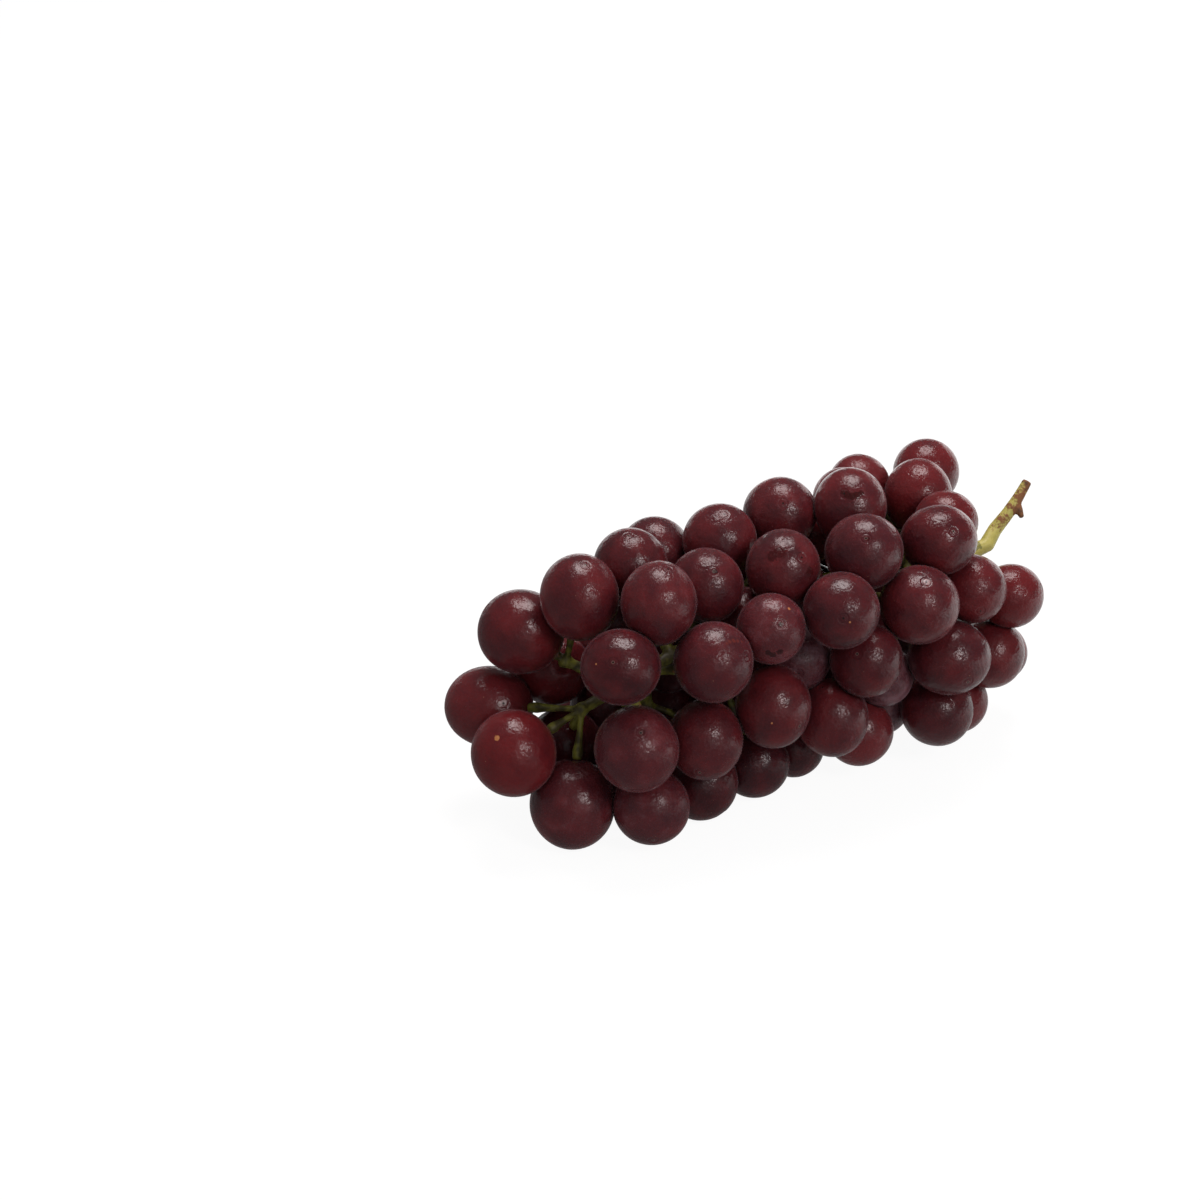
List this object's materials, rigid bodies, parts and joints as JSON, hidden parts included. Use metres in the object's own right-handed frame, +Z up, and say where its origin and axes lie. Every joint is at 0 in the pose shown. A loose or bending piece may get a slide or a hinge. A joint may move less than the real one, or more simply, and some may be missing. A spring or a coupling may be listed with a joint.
{
  "type": "bunch of grapes",
  "caption": "Whole bunch of red table grapes lying on its side: round berries pressed together on a branching green stem with a cut end.",
  "frame": {"origin": "middle of the bunch's box, on the surface that it lies on", "axes": "+X along the bunch, from its tip to the cut end of its stem; +Z up from the surface"},
  "size_m": [0.1716, 0.0847, 0.0812],
  "materials": {
    "berry_skin": "dark red skin, half gloss, with a thin pale bloom",
    "green_stem": "fresh yellow-green stem with brown patches, matt"
  },
  "bodies": {
    "root": {"berries": "berry_skin", "stem": "green_stem"}
  },
  "joints": []
}
